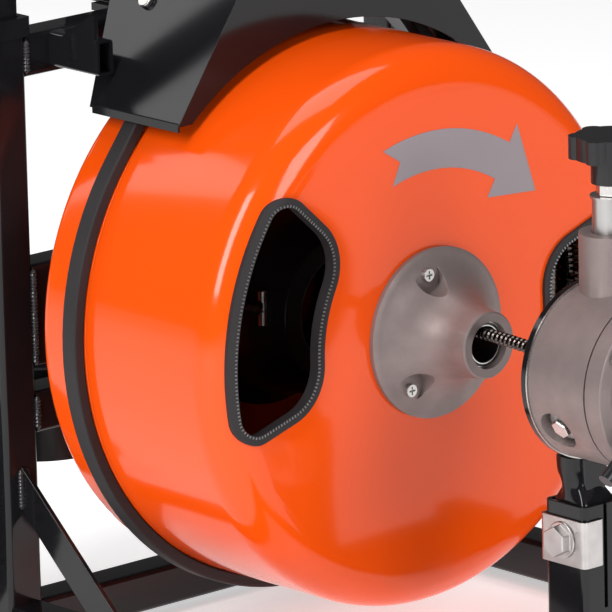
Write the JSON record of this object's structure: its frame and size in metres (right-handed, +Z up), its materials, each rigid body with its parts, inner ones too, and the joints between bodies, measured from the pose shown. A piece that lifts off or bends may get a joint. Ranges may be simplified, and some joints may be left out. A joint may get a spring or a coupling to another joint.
{
  "type": "drain cleaning machine",
  "caption": "Wheeled drain snake machine: orange drum of spring cable on a black tube frame, belt driven by a motor above, with an auto feed unit on a height-adjustable post",
  "frame": {"origin": "on the floor plane, below the drum's axis, where the drum's cylinder meets its rounded front shoulder", "axes": "+Z up, the drum's axis along Y, cable outlet towards -Y, +X to the right of someone facing +Y"},
  "size_m": [0.524, 0.85, 0.647],
  "materials": {
    "frame_paint": "gloss black paint",
    "drum_shell": "gloss orange, moulded",
    "arrow_grey": "flat grey decal",
    "black_rubber": "dark, dull",
    "cast_alloy": "satin casting",
    "bright_steel": "bright plated",
    "zinc": "zinc plated",
    "roller_steel": "ground steel",
    "spring_steel": "oiled spring wire",
    "black_plastic": "black, fine grain",
    "motor_grey": "dark grey enamel",
    "rim_plastic": "light grey",
    "tyre_rubber": "black"
  },
  "bodies": {
    "frame": {"left_upright": "frame_paint", "right_upright": "frame_paint", "base_rails": "frame_paint", "base_cross_tubes": "frame_paint", "lower_cross_tube": "frame_paint", "bearing_beam": "frame_paint", "top_cross_tube": "frame_paint", "frame_braces": "frame_paint", "rubber_feet": "black_rubber", "motor_arms": "frame_paint", "bearing_housing": "cast_alloy", "drum_bearing": "zinc", "drive_belt": "black_rubber", "motor_body": "motor_grey", "motor_fan_cover": "black_plastic", "motor_mount": "frame_paint", "switch_box": "black_plastic", "mains_gland": "black_plastic", "belt_guard": "frame_paint", "guard_screws": "bright_steel", "post_outer_tube": "frame_paint", "clamp_collar": "zinc", "post_clamp_bolt": "zinc", "cable_span": "spring_steel", "left_wheel_bracket": "frame_paint", "right_wheel_bracket": "frame_paint", "tool_pot": "black_plastic"},
    "drum": {"drum_front_shell": "drum_shell", "drum_rear_shell": "drum_shell", "left_opening_trim": "black_rubber", "right_opening_trim": "black_rubber", "drum_hub": "cast_alloy", "hub_screws": "bright_steel", "nose_bush": "bright_steel", "rotation_arrow": "arrow_grey", "inner_drum": "black_plastic", "cable_winding": "spring_steel", "rear_hub": "cast_alloy", "drum_shaft": "roller_steel"},
    "pulley": {"motor_pulley": "cast_alloy", "motor_shaft": "roller_steel"},
    "feeder": {"post_inner_tube": "frame_paint", "feeder_back_plate": "frame_paint", "feeder_housing": "cast_alloy", "feeder_cover": "cast_alloy", "roller_plungers": "bright_steel"},
    "feed_cable": {"feed_cable": "spring_steel", "cable_coupling": "bright_steel"},
    "top_roller": {"top_roller": "roller_steel"},
    "left_roller": {"left_roller": "roller_steel"},
    "right_roller": {"right_roller": "roller_steel"},
    "feeder_knob": {"feeder_knob": "black_plastic"},
    "feed_lever": {"feed_lever": "black_plastic"},
    "handle": {"handle_frame": "frame_paint", "handle_grip": "black_rubber"},
    "switch_lever": {"switch_lever": "black_plastic"},
    "left_wheel": {"left_rim": "rim_plastic", "left_tyre": "tyre_rubber"},
    "right_wheel": {"right_rim": "rim_plastic", "right_tyre": "tyre_rubber"}
  },
  "joints": [
    {"name": "drum_spin", "type": "hinge", "parent": "frame", "child": "drum", "pos_m": [0, 0.17, 0.242], "axis": [0, 1, 0], "continuous": true},
    {"name": "pulley_spin", "type": "hinge", "parent": "frame", "child": "pulley", "pos_m": [0, 0.118, 0.52], "axis": [0, 1, 0], "continuous": true},
    {"name": "feeder_height", "type": "slide", "parent": "frame", "child": "feeder", "axis": [0, 0, 1], "range_m": [-0.03, 0.03]},
    {"name": "feed_cable_spin", "type": "hinge", "parent": "feeder", "child": "feed_cable", "pos_m": [0, -0.24, 0.245], "axis": [0, 1, 0], "continuous": true},
    {"name": "top_roller_spin", "type": "hinge", "parent": "feeder", "child": "top_roller", "pos_m": [0, -0.21, 0.2591], "axis": [-0.342, 0.9397, 0], "continuous": true},
    {"name": "left_roller_spin", "type": "hinge", "parent": "feeder", "child": "left_roller", "pos_m": [-0.01221, -0.21, 0.23795], "axis": [0.171, 0.9397, -0.2962], "continuous": true},
    {"name": "right_roller_spin", "type": "hinge", "parent": "feeder", "child": "right_roller", "pos_m": [0.01221, -0.21, 0.23795], "axis": [0.171, 0.9397, 0.2962], "continuous": true},
    {"name": "knob_turn", "type": "hinge", "parent": "feeder", "child": "feeder_knob", "pos_m": [0, -0.21, 0.39], "axis": [0, 0, 1], "continuous": true},
    {"name": "lever_turn", "type": "hinge", "parent": "feeder", "child": "feed_lever", "pos_m": [0, -0.271, 0.245], "axis": [0, 1, 0], "range_deg": [-30, 30]},
    {"name": "handle_slide", "type": "slide", "parent": "frame", "child": "handle", "axis": [0, 0, 1], "range_m": [0, 0.22]},
    {"name": "switch_flip", "type": "hinge", "parent": "frame", "child": "switch_lever", "pos_m": [0, 0.266, 0.598], "axis": [1, 0, 0], "range_deg": [-18, 18]},
    {"name": "left_wheel_spin", "type": "hinge", "parent": "frame", "child": "left_wheel", "pos_m": [-0.233, 0.325, 0.1], "axis": [1, 0, 0], "continuous": true},
    {"name": "right_wheel_spin", "type": "hinge", "parent": "frame", "child": "right_wheel", "pos_m": [0.233, 0.325, 0.1], "axis": [1, 0, 0], "continuous": true}
  ],
  "couplings": [
    {"joint": "pulley_spin", "follows": "drum_spin", "ratio": 6.6106},
    {"joint": "feed_cable_spin", "follows": "drum_spin", "ratio": 1},
    {"joint": "top_roller_spin", "follows": "drum_spin", "ratio": -0.528},
    {"joint": "left_roller_spin", "follows": "drum_spin", "ratio": -0.528},
    {"joint": "right_roller_spin", "follows": "drum_spin", "ratio": -0.528}
  ]
}
